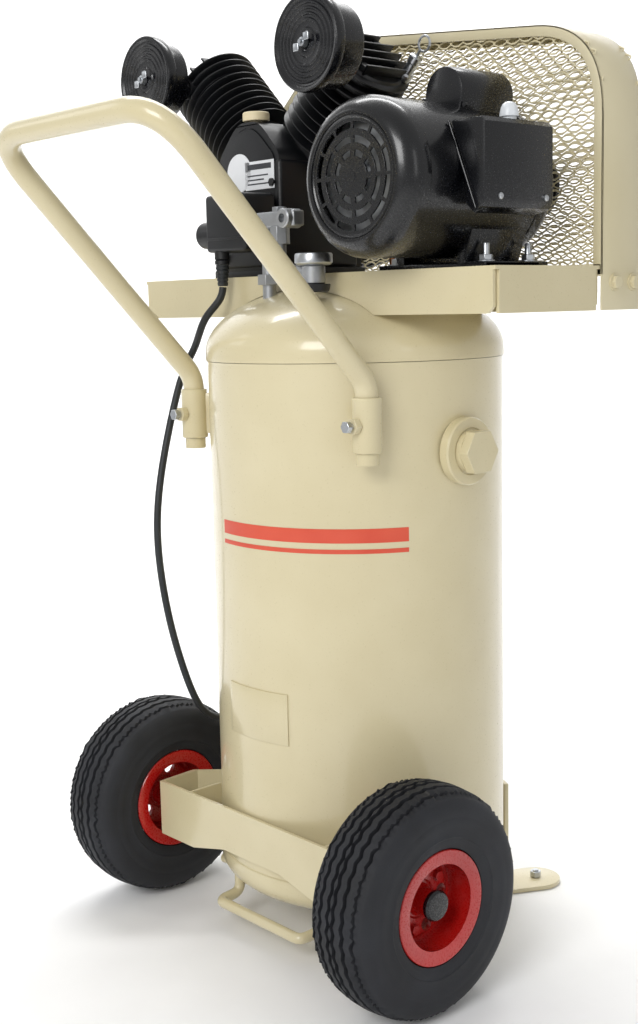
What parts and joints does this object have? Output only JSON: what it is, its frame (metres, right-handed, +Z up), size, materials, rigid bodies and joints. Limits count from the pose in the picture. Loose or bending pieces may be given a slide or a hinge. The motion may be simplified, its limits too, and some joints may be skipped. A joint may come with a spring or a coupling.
{
  "type": "air compressor",
  "caption": "Upright wheeled air compressor: vertical tank, platform with belt-driven V-twin pump, electric motor, mesh belt guard, push handle, two wheels and two feet.",
  "frame": {"origin": "centre of the footprint of the compressor without its cord, on the floor", "axes": "+Z up, X along the wheel axle, -Y towards the push handle"},
  "size_m": [0.6434, 0.6536, 1.106],
  "materials": {
    "cream_paint": "gloss cream enamel",
    "red_paint": "gloss red enamel",
    "black_paint": "gloss black enamel",
    "black_casting": "black painted sand casting",
    "tyre_rubber": "moulded tread rubber",
    "black_rubber": "matt jacket rubber",
    "zinc_steel": "bright zinc plate",
    "cast_alloy": "die cast alloy",
    "copper_tube": "drawn copper tube",
    "black_plastic": "moulded black plastic",
    "oil_cap_plastic": "moulded cream plastic",
    "clear_rubber": "translucent boot"
  },
  "bodies": {
    "frame": {"tank_shell": "cream_paint", "tank_top_head": "cream_paint", "tank_plug": "cream_paint", "drain_valve": "zinc_steel", "drain_guard": "cream_paint", "foot_right": "cream_paint", "foot_left": "cream_paint", "axle_bracket": "cream_paint", "axle_right": "black_paint", "axle_left": "black_paint", "socket_right": "cream_paint", "socket_left": "cream_paint", "platform": "cream_paint", "guard_band": "cream_paint", "guard_front_mesh": "cream_paint", "guard_rear_mesh": "cream_paint", "crankcase": "black_casting", "crankcase_cover": "black_casting", "cylinder_left": "black_casting", "cylinder_right": "black_casting", "head_left": "black_casting", "head_right": "black_casting", "filter_left": "black_paint", "filter_right": "black_paint", "safety_valve": "zinc_steel", "discharge_pipe": "copper_tube", "motor_frame": "black_paint", "motor_front_bell": "black_paint", "motor_rear_bell": "black_paint", "belt": "black_rubber", "capacitor_cover_right": "black_paint", "capacitor_cover_left": "black_paint", "terminal_box": "black_paint", "pressure_switch": "black_plastic", "manifold": "cast_alloy", "gauge": "zinc_steel", "strain_relief": "black_rubber", "power_cord": "black_rubber", "cord_coil": "black_rubber", "plug": "black_rubber"},
    "wheel_right": {"tyre_right": "tyre_rubber", "rim_right": "red_paint"},
    "wheel_left": {"tyre_left": "tyre_rubber", "rim_left": "red_paint"},
    "crank": {"crankshaft": "zinc_steel", "flywheel": "black_casting"},
    "rotor_group": {"rotor": "zinc_steel", "motor_pulley": "black_casting"},
    "piston_left_body": {"piston_left": "cast_alloy"},
    "piston_right_body": {"piston_right": "cast_alloy"},
    "push_handle": {"handle": "cream_paint"},
    "clamp_right": {"clamp_bolt_right": "zinc_steel"},
    "clamp_left": {"clamp_bolt_left": "zinc_steel"},
    "regulator": {"regulator_knob": "black_plastic"},
    "drain_lever": {"drain_handle": "zinc_steel"},
    "reset": {"reset_button": "clear_rubber"},
    "relief_ring": {"valve_ring": "zinc_steel"},
    "wing_left": {"wing_nut_left": "zinc_steel"},
    "wing_right": {"wing_nut_right": "zinc_steel"},
    "filler_cap": {"oil_cap": "oil_cap_plastic"}
  },
  "joints": [
    {"name": "wheel_right_spin", "type": "hinge", "parent": "frame", "child": "wheel_right", "pos_m": [0.24599, -0.0705, 0.127], "axis": [1, 0, 0], "continuous": true},
    {"name": "wheel_left_spin", "type": "hinge", "parent": "frame", "child": "wheel_left", "pos_m": [-0.22701, -0.0705, 0.127], "axis": [1, 0, 0], "continuous": true},
    {"name": "rotor_spin", "type": "hinge", "parent": "frame", "child": "rotor_group", "pos_m": [0.18149, 0.1922, 0.892], "axis": [0, 1, 0], "continuous": true},
    {"name": "crank_spin", "type": "hinge", "parent": "frame", "child": "crank", "pos_m": [-0.11251, 0.1922, 0.915], "axis": [0, 1, 0], "continuous": true},
    {"name": "piston_left_slide", "type": "slide", "parent": "frame", "child": "piston_left_body", "axis": [-0.7071, 0, 0.7071], "range_m": [-0.018, 0.018]},
    {"name": "piston_right_slide", "type": "slide", "parent": "frame", "child": "piston_right_body", "axis": [0.7071, 0, 0.7071], "range_m": [-0.018, 0.018]},
    {"name": "handle_slide", "type": "slide", "parent": "frame", "child": "push_handle", "axis": [0, 0, 1], "range_m": [0, 0.04]},
    {"name": "clamp_right_turn", "type": "hinge", "parent": "frame", "child": "clamp_right", "pos_m": [0.16449, -0.0826, 0.633], "axis": [0, -1, 0], "range_deg": [0, 360]},
    {"name": "clamp_left_turn", "type": "hinge", "parent": "frame", "child": "clamp_left", "pos_m": [-0.14551, -0.0826, 0.633], "axis": [0, -1, 0], "range_deg": [0, 360]},
    {"name": "regulator_turn", "type": "hinge", "parent": "frame", "child": "regulator", "pos_m": [0.07149, -0.0438, 0.786], "axis": [0, 0, 1], "range_deg": [0, 300]},
    {"name": "drain_turn", "type": "hinge", "parent": "frame", "child": "drain_lever", "pos_m": [0.00949, 0.0432, 0.0157], "axis": [0, -1, 0], "range_deg": [0, 90]},
    {"name": "reset_press", "type": "slide", "parent": "frame", "child": "reset", "axis": [0, 0, -1], "range_m": [0, 0.003], "stiffness_N_per_m": 300},
    {"name": "relief_pull", "type": "slide", "parent": "frame", "child": "relief_ring", "axis": [0.7071, 0, 0.7071], "range_m": [0, 0.004], "stiffness_N_per_m": 300},
    {"name": "wing_left_turn", "type": "hinge", "parent": "frame", "child": "wing_left", "pos_m": [-0.26851, -0.0258, 1.052], "axis": [0, -1, 0], "range_deg": [0, 360]},
    {"name": "wing_right_turn", "type": "hinge", "parent": "frame", "child": "wing_right", "pos_m": [0.04349, -0.0258, 1.052], "axis": [0, -1, 0], "range_deg": [0, 360]},
    {"name": "filler_turn", "type": "hinge", "parent": "frame", "child": "filler_cap", "pos_m": [-0.11251, 0.0302, 0.985], "axis": [0, 0, 1], "range_deg": [0, 90]}
  ],
  "couplings": [
    {"joint": "crank_spin", "follows": "rotor_spin", "ratio": 0.35185}
  ]
}
